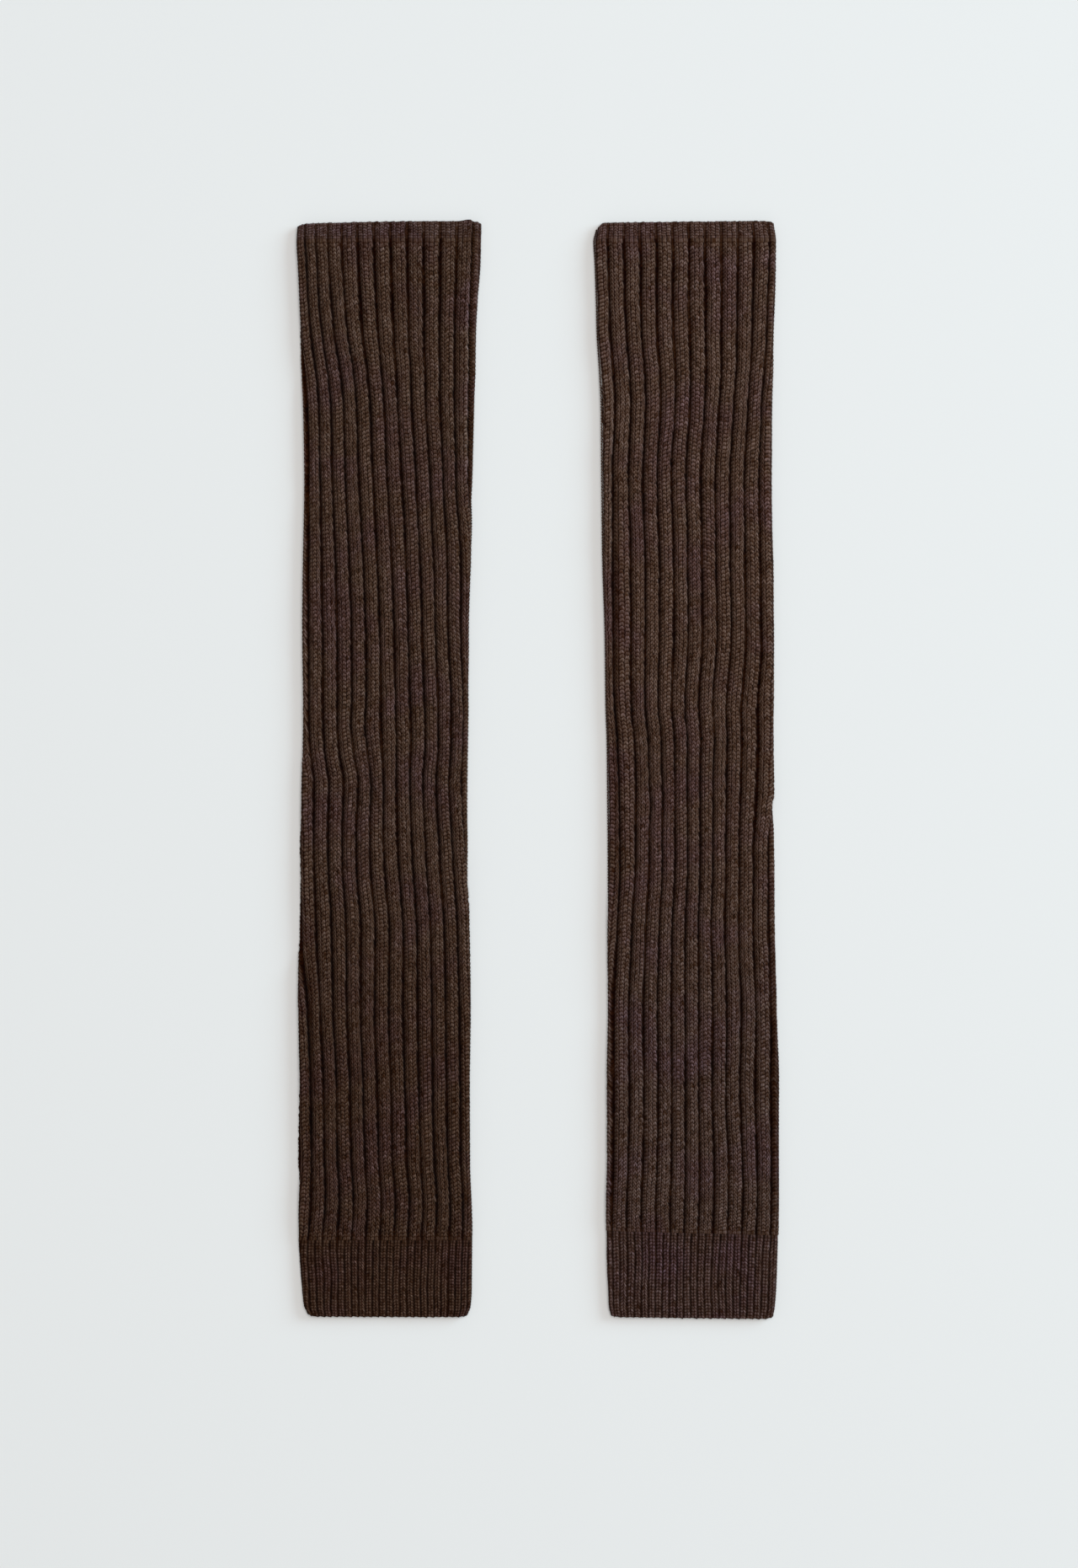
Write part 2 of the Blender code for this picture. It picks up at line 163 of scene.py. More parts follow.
KINKS = {
    "left": (
        Kink(5.6, 286, 1.2, 9, -1.3),
        Kink(5.0, 318, 1.5, 14, 0.9),
        Kink(13.5, 230, 1.2, 60, 0.8),
        Kink(2.5, 598, 1.6, 12, 0.9),
        Kink(9.0, 603, 2.0, 10, -0.5),
    ),
    "right": (
        Kink(3.0, 240, 0.6, 120, -2.4),
        Kink(9.5, 285, 0.9, 14, 0.9),
        Kink(5.2, 331, 0.9, 10, 0.8),
        Kink(5.0, 590, 1.6, 12, 0.9),
        Kink(10.5, 602, 2.0, 12, -0.8),
    ),
}

# Soft troughs and ridges of the front: centre, half sizes across and along, lean to the right over one
# millimetre down, and height, all in millimetres.
Fold = namedtuple("Fold", "x down across along lean height")

FOLDS = {
    "left": (
        Fold(-13.0, 283, 3.2, 26, 0.06, -1.1),
        Fold(-8.5, 300, 7.0, 7, 0.0, 0.7),
        Fold(-7.5, 322, 3.0, 16, 0.1, -0.7),
        Fold(46.0, 70, 3.5, 80, -0.04, 0.8),
        Fold(41.0, 75, 2.4, 75, -0.04, -0.7),
        Fold(-42.3, 490, 2.4, 85, 0.0, -1.0),
        Fold(20.0, 160, 22.0, 60, 0.0, 0.5),
        Fold(-20.0, 420, 24.0, 50, 0.0, 0.5),
    ),
    "right": (
        Fold(-44.5, 260, 2.6, 120, 0.0, -0.8),
        Fold(17.0, 284, 3.6, 13, 0.0, -0.8),
        Fold(-25.0, 331, 4.0, 6, 0.0, -0.8),
        Fold(4.8, 380, 2.6, 16, 0.0, -1.0),
        Fold(45.8, 490, 2.2, 85, 0.0, -0.9),
        Fold(-10.0, 180, 24.0, 60, 0.0, 0.5),
        Fold(12.0, 460, 20.0, 60, 0.0, 0.5),
    ),
}

# Where a valley between ribs fades, or deepens where its share is below 0: the valley, its distance down
# and the ribs and millimetres that it fades over.
Fade = namedtuple("Fade", "rib down ribs reach share")

FADES = {
    "left": (
        Fade(4.0, 291, 0.4, 6, 0.5),
        Fade(5.0, 295, 0.4, 9, 0.7),
        Fade(6.0, 303, 0.4, 7, 0.9),
        Fade(7.0, 292, 0.4, 6, 0.5),
        Fade(6.0, 268, 0.4, 24, -0.5),
        Fade(6.0, 321, 0.4, 8, -0.6),
    ),
    "right": (
        Fade(5.0, 345, 0.4, 12, 0.7),
        Fade(6.0, 338, 0.4, 10, 0.7),
        Fade(5.0, 328, 0.4, 6, -0.6),
        Fade(10.0, 284, 0.4, 8, 0.8),
        Fade(11.0, 291, 0.4, 8, -0.6),
    ),
}

# Soft darker stretches beside the folds: centre and half sizes in millimetres, and how much of the light
# they take.
Shadow = namedtuple("Shadow", "x down across along share")

SHADOWS = {
    "left": (Shadow(-42.2, 490, 1.6, 80, 0.45), Shadow(48.2, 100, 1.0, 50, 0.4)),
    "right": (Shadow(-42.4, 273, 1.6, 125, 0.4), Shadow(46.0, 490, 1.4, 80, 0.45)),
}

# Where the right flank of a rib, from a share of its width on, catches the light: from and to in
# millimetres down, and how much lighter.
Glint = namedtuple("Glint", "rib start end level")

GLINTS = {"left": (Glint(13, 25, 150, 0.5),), "right": (Glint(2, 60, 200, 0.25),)}
GLINT_FADE = 15
GLINT_FROM = 0.80

# How light the yarn is at a distance down, in millimetres, as a share of the piece's colour, and how far it
# turns to the greyer yarn, whose red, green, blue and opacity are given as shares.
Tone = namedtuple("Tone", "down level grey")

TONES = {
    "left": (
        Tone(0, 1.00, 0.0),
        Tone(200, 1.00, 0.0),
        Tone(350, 0.96, 0.2),
        Tone(480, 0.78, 0.1),
        Tone(620, 0.80, 0.0),
    ),
    "right": (
        Tone(0, 1.03, 0.0),
        Tone(180, 1.02, -0.2),
        Tone(350, 0.96, 0.1),
        Tone(480, 0.90, 1.0),
        Tone(575, 0.90, 1.0),
        Tone(577, 0.90, 0.0),
        Tone(620, 0.90, 0.0),
    ),
}
GREYER = (1.0, 1.065, 1.18, 1.0)

# How far an edge falls short of a straight line, in metres: all along it, by a slope that grows to the
# left, by a bow at both ends and by its rounded corners. The shift fades out along the tube.
CORNER_POWER = 22
EDGE_REACH = 0.012
Edge = namedtuple("Edge", "short slope bow left_corner right_corner")

BAND_EDGES = {
    "left": Edge(-0.0001, 0.0014, 0.0006, 0.0016, 0.0010),
    "right": Edge(0.0002, 0.0010, 0.0, 0.0032, 0.0010),
}
HEM_EDGES = {
    "left": Edge(0.0006, 0.0003, 0.0, 0.0018, 0.0010),
    "right": Edge(-0.0005, 0.0010, 0.0, 0.0010, 0.0012),
}

# How much higher than CUFF_START the line between leg and cuff runs at the left and right folds, and how
# far the shift fades over.
Ends = namedtuple("Ends", "left right")
CUFF_LINE = {"left": Ends(0.0, 0.0), "right": Ends(0.0052, 0.0028)}
CUFF_LINE_REACH = 0.021

# Where the end of the side seam stands up from the band's edge: its place across, half width and height.
Nub = namedtuple("Nub", "x width height")
SEAM_NUB = {"left": Nub(0.0465, 0.0024, 0.0011), "right": Nub(-0.0500, 0.0016, 0.0006)}

# A rib spans from its foot to its right edge, which is a little ragged, with a narrow crevice beside it.
# These are shares of the pitch, and the foot is where a rib of full width needs it.
RIB_WIDTH = 0.0076
RIGHT_EDGE = 0.885
LEAST_FOOT = 0.0
MOST_FOOT = 0.04
CREVICE = -0.060
RAGGED_EDGE = 0.040

# How many wales of plain stitches a rib has, and how many steps of points a wale has.
WIDE_WALES = 3
WALE_STEPS = 4
FINE_WALES = 1
FINE_STEPS = 6

# The place across its rib of the column of points in the crevice, and those of a rib that is out of sight.
VALLEY = -1.0
HIDDEN_PLACES = (0.1, 0.5, 0.9)

# The rib's height across it: a gentle left flank up from a low foot, and a right flank that stays high.
LEFT_FLANK = 0.55
FLANK_POWER = 2.2
RIGHT_FLANK = 0.88
LEFT_FOOT = 0.06
RIGHT_FOOT = 0.70

# The upward parts of a normal between which the ribs' full relief, and the folds' height, set in.
RIB_FACING = (-0.8, 0.9)
FOLD_FACING = (-0.2, 0.8)

# How deep valleys are pressed in underneath, and how far the knit may reach below the valleys at all.
UNDER_RELIEF = 0.0008
DEEPEST = 0.0014

# Painted shade in the valleys, standing in for the shade that falls there: how light the colour is made in
# the crevice and at the foot of the rib's left flank, which faces away from the light, where the relief is
# deep, up to which share of the rib's height that painted shade shows, and how strongly in each part.
VALLEY_SHADE = 0.12
FOOT_SHADE = 0.60
FOOT_TOP = 0.95
DEEP_RELIEF = 0.0018
VALLEY_PAINTED_SHADE = {"band": 0.55, "leg": 1.0, "cuff": 0.95}

# Stitches: the rows of points in a course, how far down the stitches of each wale and, drifting slowly,
# each column lie against the others, in courses, and how many random draws a rib has.
COURSE_ROWS = 3
WALE_PHASES = (0.0, 0.45, 0.1, 0.4)
ROW_STAGGER = 0.36
STAGGER_REACH = 0.060
SLOTS_PER_RIB = 16

# Towards the ends of a stretch, stitches blend into an even knit, whose colour is their mean shade made a
# little darker by END_SHADE: painted shade in place of the shadows that the flattened stitches there lose.
# At the tube's own two edges they blend as if the knit went on a little beyond them.
END_REACH = 0.005
END_SHADE = 0.86
BLEND_POWER = 0.5
BEYOND_EDGE = 0.002

# How unevenly stitches are lit and how deep their holes are, as shares.
TONE_SPREAD = 0.34
TONE_BLEND = 0.25
TONE_RANGE = (0.35, 2.2)
HOLE_RANGE = (0.65, 1.20)

# Height in millimetres and shade of the points of a stitch, in its row between courses and its two others.
# The shades are painted: dark in the gaps between the yarn, as painted shade, and lighter on the raised
# legs, as painted highlight. Lean is how far down a point lies, in shares of the stretch's rise.
Stitch = namedtuple("Stitch", "heights shades")
WALE_CYCLE = ("gap", "leg", "heart", "leg")
FINE_CYCLE = ("gap", "leg", "leg", "split", "leg", "leg")
LEAN = {"gap": 0.5, "leg": 0.0, "heart": -0.5, "split": -0.5, "purl": 0.5}

STITCH = {
    "gap": Stitch((-0.85, -0.24, -0.24), (0.00, 0.26, 0.36)),
    "leg": Stitch((-0.12, 0.22, 0.15), (0.46, 2.05, 1.48)),
    "heart": Stitch((-0.30, 0.04, -0.08), (0.18, 1.50, 0.90)),
    "split": Stitch((-0.60, -0.30, -0.34), (0.05, 0.34, 0.30)),
    "purl": Stitch((-0.12, 0.08, 0.00), (0.75, 1.10, 1.00)),
}
STITCH_HEIGHT = {"band": 0.6, "leg": 1.0, "cuff": 0.7}

# How many more random draws there are than courses in a stretch, or steps of a drift in the length.
SPARE_COURSES = 3
SPARE_KNOTS = 4

# Smooth random drift of ribs sideways and in height, in metres, and of the valleys' depth and their painted
# shade, as a share, and the lengths that they change over.
RIB_SWAY = 0.00026
RIB_LIFT = 0.00022
SWAY_REACH = 0.022
VALLEY_SPREAD = 0.55
VALLEY_REACH = 0.016

# The plain inner side: the points round it, how far apart its rings are, how much lower than the solid's
# its opening is, and its shade.
INNER_POINTS = 48
INNER_STEP = 0.012
INNER_SLACK = 0.0004
INNER_SHADE = 0.6

# Powers that a shade under or over 1 is raised to for red, green, blue and opacity: darker points, mostly
# painted shade, turn redder, and lighter ones, mostly painted highlight, greyer.
DARK_POWERS = (1.0, 1.6, 2.4, 0.0)
LIGHT_POWERS = (1.0, 1.20, 1.45, 0.0)
LEAST_SHADE = 0.04

# The stretch of a leg warmer that is knitted alike: from and to in metres down, its number of courses, and
# how far the leg of a stitch runs down beside its wale, in courses.
Stretch = namedtuple("Stretch", "start end courses rise")
STRETCHES = {
    "band": Stretch(0.0, BAND_END, 6, 0.25),
    "leg": Stretch(BAND_END, CUFF_START, 252, 0.70),
    "cuff": Stretch(CUFF_START, LENGTH, 26, 0.55),
}

# A shell: its name, the stretch it is in, its first and last course there and its closely knitted ribs.
Shell = namedtuple("Shell", "name part first last dense")


def ease(value, low, high):
    """0 below low, 1 above high and a smooth step between them."""
    t = np.clip((value - low) / (high - low), 0.0, 1.0)
    return t * t * (3 - 2 * t)


def column_at(rows, name, down):
    """A table column at distances down in metres, eased smoothly between its rows, in the table's unit."""
    downs = np.array([row.down for row in rows], dtype=float)
    values = np.array([getattr(row, name) for row in rows], dtype=float)
    steps = np.diff(values) / np.diff(downs)
    products = np.maximum(steps[:-1] * steps[1:], 0.0)
    sums = np.where(products > 0, steps[:-1] + steps[1:], 1.0)
    slopes = np.concatenate(([0.0], 2 * products / sums, [0.0]))
    place = np.clip(down / MM, downs[0], downs[-1])
    low = np.clip(np.searchsorted(downs, place, side="right") - 1, 0, len(downs) - 2)
    span = downs[low + 1] - downs[low]
    t = (place - downs[low]) / span
    return (
        values[low] * (1 + 2 * t) * (1 - t) ** 2
        + values[low + 1] * t * t * (3 - 2 * t)
        + slopes[low] * span * t * (1 - t) ** 2
        - slopes[low + 1] * span * t * t * (1 - t)
    )


def wander(rng, columns, reach):
    """Smooth random values from -1 to 1 along each of several columns, as a function of column and down."""
    knots = rng.uniform(-1.0, 1.0, (columns, int(LENGTH / reach) + SPARE_KNOTS))

    def value_at(column, down):
        place = np.maximum(down, 0.0) / reach
        low = place.astype(int)
        t = ease(place - low, 0.0, 1.0)
        return knots[column, low] * (1 - t) + knots[column, low + 1] * t

    return value_at


class Yarn:
    """The uneven hand of the yarn in one stretch: a draw for each column of points and course."""

    def __init__(self, side, part):
        seed = SEED + SIDE_SEEDS * SIDES.index(side) + list(STRETCHES).index(part)
        rng = np.random.default_rng(seed)
        slots = RIBS_AROUND * SLOTS_PER_RIB
        shape = (STRETCHES[part].courses + SPARE_COURSES, slots)
        self.hole = rng.uniform(*HOLE_RANGE, shape)
        self.tone = rng.normal(0.0, 1.0, shape)
        self.stagger = wander(rng, slots, STAGGER_REACH)
        self.ragged = rng.uniform(-1.0, 1.0, (shape[0], slots))


class Ovals:
    """The oval sections of one leg warmer at an array of distances down, and the rib counts round them."""

    def __init__(self, side, down):
        rows = SECTIONS[side]
        self.side = side
        self.down = down
        self.thickness = column_at(LOFTS, "thickness", down) * MM
        self.relief = column_at(LOFTS, "relief", down) * MM
        self.cut = column_at(LOFTS, "cut", down) * MM
        side_relief = self.relief * ease(0.0, *RIB_FACING)
        self.left = column_at(rows, "left", down) * MM + side_relief
        self.right = column_at(rows, "right", down) * MM - side_relief
        self.radius = self.thickness / 2
        self.quarter = math.pi * self.radius / 2
        self.front = self.right - self.left - self.thickness + 2 * self.quarter
        self.first = column_at(rows, "first", down)
        self.last = column_at(rows, "last", down)
        self.pitch = column_at(rows, "pitch", down) * MM
        valley = column_at(rows, "valley", down) * MM
        self.tracked = valley - self.left - self.radius + self.quarter
        beyond = self.front - self.tracked
        self.squeeze_left = (TRACKED_RIB - self.tracked / self.pitch - self.first) / self.tracked**3
        self.squeeze_right = (self.last - TRACKED_RIB - beyond / self.pitch) / beyond**3

    def offset_at(self, count):
        """Length from the tracked valley, and ribs per metre there, of rib counts on the front."""
        squeeze = np.where(count < TRACKED_RIB, self.squeeze_left, self.squeeze_right)
        offset = (count - TRACKED_RIB) * self.pitch
        for _ in range(NEWTON_STEPS):
            slope = 1 / self.pitch + 3 * squeeze * offset**2
            offset = offset - (offset / self.pitch + squeeze * offset**3 - (count - TRACKED_RIB)) / slope
        return offset, slope

    def wrapped(self, count):
        """Rib counts brought to the turn that starts at the left fold."""
        return self.first + (count - self.first) % RIBS_AROUND

    def length_at(self, count):
        """Length round the oval of rib counts, with the pushes of the kinks."""
        count = self.wrapped(count)
        share_under = (count - self.last) / (self.first + RIBS_AROUND - self.last)
        over = self.tracked + self.offset_at(np.minimum(count, self.last))[0]
        length = np.where(count <= self.last, over, self.front * (1 + share_under))
        for kink in KINKS[self.side]:
            across = (count - kink.rib) / kink.ribs
            along = (self.down / MM - kink.down) / kink.reach
            length = length + kink.push * MM * np.exp(-across * across - along * along)
        return length

    def pitch_at(self, count):
        """Width of the rib at rib counts, in metres."""
        count = self.wrapped(count)
        over = 1 / self.offset_at(np.minimum(count, self.last))[1]
        under = self.front / (self.first + RIBS_AROUND - self.last)
        return np.where(count <= self.last, over, under)

    def point(self, length, inset, floor, thickness):
        """x, z and outward normal of an oval drawn inside this one, at lengths round this one."""
        length = length % (2 * self.front)
        under = length > self.front
        length = np.where(under, 2 * self.front - length, length)
        radius = thickness / 2
        low = self.left + inset + radius
        high = self.right - inset - radius
        share = np.clip((length - self.quarter) / (self.front - 2 * self.quarter), 0.0, 1.0)
        left_turn = np.maximum(math.pi / 2 - length / self.radius, 0.0)
        right_turn = np.maximum(math.pi / 2 - (self.front - length) / self.radius, 0.0)
        angle = math.pi / 2 + left_turn - right_turn
        normal_x = np.cos(angle)
        normal_z = np.where(under, -1.0, 1.0) * np.sin(angle)
        x = low + (high - low) * share + radius * normal_x
        z = floor + radius + radius * normal_z
        return x, z, normal_x, normal_z

    def front_lift(self, x):
        """Height that the folds add to the front at places across the tube."""
        lift = np.zeros_like(x)
        for fold in FOLDS[self.side]:
            along = self.down / MM - fold.down
            across = x / MM - fold.x - fold.lean * along
            lift += fold.height * MM * np.exp(-((across / fold.across) ** 2) - (along / fold.along) ** 2)
        return lift

    def faded(self, count):
        """Share of a valley's depth that is left at rib counts."""
        left = np.ones_like(count)
        for fade in FADES[self.side]:
            across = (count - fade.rib) / fade.ribs
            along = (self.down / MM - fade.down) / fade.reach
            left = left - fade.share * np.exp(-across * across - along * along)
        return left

    def shaded(self, x, columns):
        """Share of the light that the shadows and glints leave at places across the tube."""
        light = np.ones_like(x)
        down = self.down / MM
        for shadow in SHADOWS[self.side]:
            across = (x / MM - shadow.x) / shadow.across
            along = (down - shadow.down) / shadow.along
            light *= 1 - shadow.share * np.exp(-across * across - along**4)
        for glint in GLINTS[self.side]:
            on_flank = (columns.rib == glint.rib) & (columns.t > GLINT_FROM)
            from_start = ease(down, glint.start, glint.start + GLINT_FADE)
            to_end = ease(-down, -glint.end, GLINT_FADE - glint.end)
            light *= 1 + glint.level * on_flank * (from_start * to_end)
        return light

    def shift_down(self, x):
        """How far the shapes of the edges and the cuff's line shift a section down, at places across it."""
        share = np.clip((2 * x - self.left - self.right) / (self.right - self.left), -1.0, 1.0)

        def short_of_line(edge):
            drop = np.where(share < 0, edge.left_corner, edge.right_corner)
            corner = drop * np.abs(share) ** CORNER_POWER
            return edge.short + edge.slope * (1 - share) / 2 + edge.bow * share**2 + corner

        nub = SEAM_NUB[self.side]
        raised_nub = nub.height * np.exp(-(((x - nub.x) / nub.width) ** 2))
        band = (short_of_line(BAND_EDGES[self.side]) - raised_nub) * np.exp(-self.down / EDGE_REACH)
        hem = short_of_line(HEM_EDGES[self.side]) * np.exp((self.down - LENGTH) / EDGE_REACH)
        line = CUFF_LINE[self.side]
        raised = (line.left + line.right + (line.right - line.left) * share) / 2
        return band - hem - raised * np.exp(-(((self.down - CUFF_START) / CUFF_LINE_REACH) ** 2))

    def place(self, x, z, normal_z):
        """Points of the sections in the row frame, with the folds and the shape of the edges."""
        lifted = z + self.front_lift(x) * ease(normal_z, *FOLD_FACING)
        y = TOP_Y - self.down - self.shift_down(x)
        return np.stack([x + CENTRE_X[self.side], y, np.maximum(lifted, 0.0)], axis=-1)


def rib_profile(t):
    """Share of the relief across a rib, from its gentle left flank to its steep right edge."""
    left = 1 - (1 - LEFT_FOOT) * np.clip(1 - t / LEFT_FLANK, 0.0, 1.0) ** FLANK_POWER
    right = 1 - (1 - RIGHT_FOOT) * np.clip((t - RIGHT_FLANK) / (1 - RIGHT_FLANK), 0.0, 1.0) ** 2
    return np.minimum(left, right)


# The columns of points round a tube: each one's rib, half of a split rib, wale, place across, stitch and
# slot.
Columns = namedtuple("Columns", "rib half wale t kind slot")


def rib_columns(dense, fine):
    """The columns of points round a tube: close together on the ribs in dense, and few on the others."""
    halves = FINE_PER_WIDE if fine else 1
    steps = FINE_STEPS if fine else WALE_STEPS
    wales = FINE_WALES if fine else WIDE_WALES
    cycle = FINE_CYCLE if fine else WALE_CYCLE
    found = []
    for rib in range(RIBS_AROUND):
        near = rib in dense or rib - RIBS_AROUND in dense
        for half in range(halves if near else 1):
            first_slot = rib * SLOTS_PER_RIB + half * SLOTS_PER_RIB // halves
            found.append((rib, half, 0, VALLEY, "purl", first_slot))
            for index in range(wales * steps + 1 if near else 0):
                place = index / (wales * steps)
                kind = cycle[index % steps]
                found.append((rib, half, index // steps, place, kind, first_slot + 1 + index))
        for index, place in enumerate(() if near else HIDDEN_PLACES):
            found.append((rib, 0, 0, place, "leg", rib * SLOTS_PER_RIB + 1 + index))
    return Columns(*(np.array(values) for values in zip(*found)))


def column_counts(ovals, columns, ragged, fine):
    """Rib count of every point of a grid, from its column's place across its rib and the rib's width."""
    split = FINE_PER_WIDE if fine else 1
    start = columns.rib + columns.half / split
    pitch = ovals.pitch_at(start + 0.5 / split) / split
    foot = np.clip(RIGHT_EDGE - RIB_WIDTH / split / pitch, LEAST_FOOT, MOST_FOOT)
    inside = foot + (RIGHT_EDGE + RAGGED_EDGE * ragged - foot) * columns.t
    return start + np.where(columns.t < 0, CREVICE, inside) / split


def stitch_values(columns, rows, free, name):
    """Height or shade of each row and column of a grid, evened out where it isn't free."""
    per_column = np.array([getattr(STITCH[kind], name) for kind in columns.kind])
    even = per_column.mean(axis=1) * (END_SHADE if name == "shades" else 1.0)
    return even + (per_column[:, rows % COURSE_ROWS].T - even) * free**BLEND_POWER


Grid = namedtuple("Grid", "points normals shade grey share")


def course_height(stretch):
    """Height of a course in metres."""
    return (stretch.end - stretch.start) / stretch.courses


class Knit:
    """The outer side of a shell, made with one more row at each end so that its normals run on."""

    def __init__(self, side, shell):
        self.side = side
        self.part = shell.part
        self.fine = shell.part == "cuff"
        self.columns = rib_columns(shell.dense, self.fine)
        self.rows = np.arange(shell.first * COURSE_ROWS - 1, shell.last * COURSE_ROWS + 2)
        self.profile = np.where(self.columns.t < 0, 0.0, rib_profile(np.maximum(self.columns.t, 0.0)))
        self.draw_yarn()
        self.set_downs()
        self.set_lengths()

    def draw_yarn(self):
        """What the uneven hand of the yarn gives each row and column."""
        courses = self.rows // COURSE_ROWS + 1
        columns = self.columns
        self.yarn = Yarn(self.side, self.part)
        self.hole = self.yarn.hole[courses][:, columns.slot]
        self.tone = self.yarn.tone[courses][:, columns.slot]
        self.ragged = self.yarn.ragged[courses][:, columns.rib * SLOTS_PER_RIB + columns.half]

    def set_downs(self):
        """How far down the points lie, and how free of the stretch's ends their stitches are."""
        columns = self.columns
        stretch = STRETCHES[self.part]
        course = course_height(stretch)
        straight = stretch.start + self.rows[:, None] * course / COURSE_ROWS + 0 * columns.t
        chevron = np.array([LEAN[kind] for kind in columns.kind]) * stretch.rise
        chevron = chevron + np.array(WALE_PHASES)[columns.wale]
        stagger = self.yarn.stagger(columns.slot, straight) * ROW_STAGGER
        from_start = straight - stretch.start + (BEYOND_EDGE if self.part == "band" else 0.0)
        to_end = stretch.end - straight + (BEYOND_EDGE if self.part == "cuff" else 0.0)
        self.free = np.clip(np.minimum(from_start, to_end) / END_REACH, 0.0, 1.0)
        self.down = straight + (chevron + stagger) * course * self.free

    def set_lengths(self):
        """Where the points lie round the tube, and the slow drift of the ribs and valleys."""
        ribs = self.columns.rib
        self.ovals = Ovals(self.side, self.down)
        count = column_counts(self.ovals, self.columns, self.ragged, self.fine)
        drift = np.random.default_rng(SEED + SIDES.index(self.side))
        sway = wander(drift, RIBS_AROUND, SWAY_REACH)
        lift = wander(drift, RIBS_AROUND, SWAY_REACH)
        deeper = wander(drift, RIBS_AROUND, VALLEY_REACH)
        self.length = self.ovals.length_at(count) + RIB_SWAY * sway(ribs, self.down)
        self.lift = RIB_LIFT * lift(ribs, self.down)
        self.deeper = (1 + VALLEY_SPREAD * deeper(ribs, self.down)) * self.ovals.faded(count)

    def heights(self, normal_z):
        """How far the points stand out from the sections."""
        low = 1 - self.profile
        facing = ease(normal_z, *RIB_FACING)
        on_front = (self.ovals.relief + self.lift) * self.profile - self.ovals.cut * self.deeper * low**2
        stitch = stitch_values(self.columns, self.rows, self.free, "heights")
        stitch = stitch * MM * STITCH_HEIGHT[self.part]
        stitch = np.where(stitch < 0, stitch * self.hole, stitch)
        height = facing * on_front - (1 - facing) * UNDER_RELIEF * low + stitch
        return np.maximum(height, -DEEPEST)

    def shades(self):
        """How light the points are painted: painted shade in the stitch gaps and highlight on their legs,
        painted shade in the valleys, and the yarn's own uneven tone.
        """
        shade = stitch_values(self.columns, self.rows, self.free, "shades")
        shade = np.where(shade < 1, 1 - (1 - shade) * self.hole, shade)
        # Painted shade: darkest in the crevice and darker towards the foot of the left flank, deeper where
        # the relief is deep.
        painted_rib_light = FOOT_SHADE + (1 - FOOT_SHADE) * ease(self.profile, 0.0, FOOT_TOP)
        valley_painted_shade = 1 - np.where(self.columns.t < 0, VALLEY_SHADE, painted_rib_light)
        valley_painted_shade = valley_painted_shade * VALLEY_PAINTED_SHADE[self.part]
        shade = shade * (1 - valley_painted_shade * np.minimum(self.deeper * self.ovals.relief / DEEP_RELIEF, 1.0))
        beside = np.roll(self.tone, 1, axis=1) + np.roll(self.tone, -1, axis=1)
        tone = (1 - 2 * TONE_BLEND) * self.tone + TONE_BLEND * beside
        return shade * np.clip(1 + TONE_SPREAD * tone, *TONE_RANGE)

    def grid(self):
        """Points, normals, shades, greyness and shares of the way round, without the two more rows."""
        ovals = self.ovals
        tones = TONES[self.side]
        x, z, normal_x, normal_z = ovals.point(self.length, 0.0, 0.0, ovals.thickness)
        height = self.heights(normal_z)
        points = ovals.place(x + height * normal_x, z + height * normal_z, normal_z)
        # Painted shade and highlight of the stitches and valleys, times the yarn's tone down the length and
        # the painted shadows and glints beside the folds.
        shade = self.shades() * column_at(tones, "level", self.down) * ovals.shaded(x, self.columns)
        grey = column_at(tones, "grey", self.down)
        share = self.length / (2 * ovals.front) % 1.0
        return Grid(*(values[1:-1] for values in (points, grid_normals(points), shade, grey, share)))


LEAST_NORMAL = 1e-12


def grid_normals(points):
    """Unit normals of a grid that closes round its rows, by central differences."""
    around = np.roll(points, -1, axis=1) - np.roll(points, 1, axis=1)
    along = np.gradient(points, axis=0)
    normals = np.cross(along, around)
    return normals / np.maximum(np.linalg.norm(normals, axis=-1, keepdims=True), LEAST_NORMAL)


def inner_side(side, start, end):
    """Points of the plain inner side of a shell, and their normals, which face the opening."""
    rings = max(1, round((end - start) / INNER_STEP)) + 1
    down = np.linspace(start, end, rings)[:, None] + np.zeros((1, INNER_POINTS))
    ovals = Ovals(side, down)
    share = np.arange(INNER_POINTS) / INNER_POINTS
    opening = ovals.thickness - UNDER_WALL - FRONT_WALL - INNER_SLACK
    length = share * 2 * ovals.front
    x, z, normal_x, normal_z = ovals.point(length, SIDE_WALL, UNDER_WALL, opening)
    normals = np.stack([-normal_x, 0 * normal_x, -normal_z], axis=-1)
    return ovals.place(x, z, normal_z), normals.reshape(-1, 3)


def grid_faces(rows, columns, start, flip):
    """Quads of a grid that closes round its rows, numbered from start."""
    index = start + np.arange(rows * columns).reshape(rows, columns)
    after = np.roll(index, -1, axis=1)
    quads = np.stack([index[:-1], index[1:], after[1:], after[:-1]], axis=-1).reshape(-1, 4)
    return quads[:, ::-1] if flip else quads


def zip_rim(outer, inner):
    """Triangles between an outer and an inner ring of (share of the way round, point number)."""
    outer = outer + [(outer[0][0] + 1.0, outer[0][1])]
    inner = inner + [(inner[0][0] + 1.0, inner[0][1])]
    faces = []
    a = b = 0
    while a < len(outer) - 1 or b < len(inner) - 1:
        if b == len(inner) - 1 or (a < len(outer) - 1 and outer[a + 1][0] <= inner[b + 1][0]):
            faces.append((outer[a][1], outer[a + 1][1], inner[b][1]))
            a += 1
        else:
            faces.append((outer[a][1], inner[b + 1][1], inner[b][1]))
            b += 1
    return faces


def in_order(shares, first):
    """(share, point number) of a ring's points, in the order of their share of the way round."""
    order = np.argsort(shares, kind="stable")
    return [(float(shares[i]), first + int(i)) for i in order]


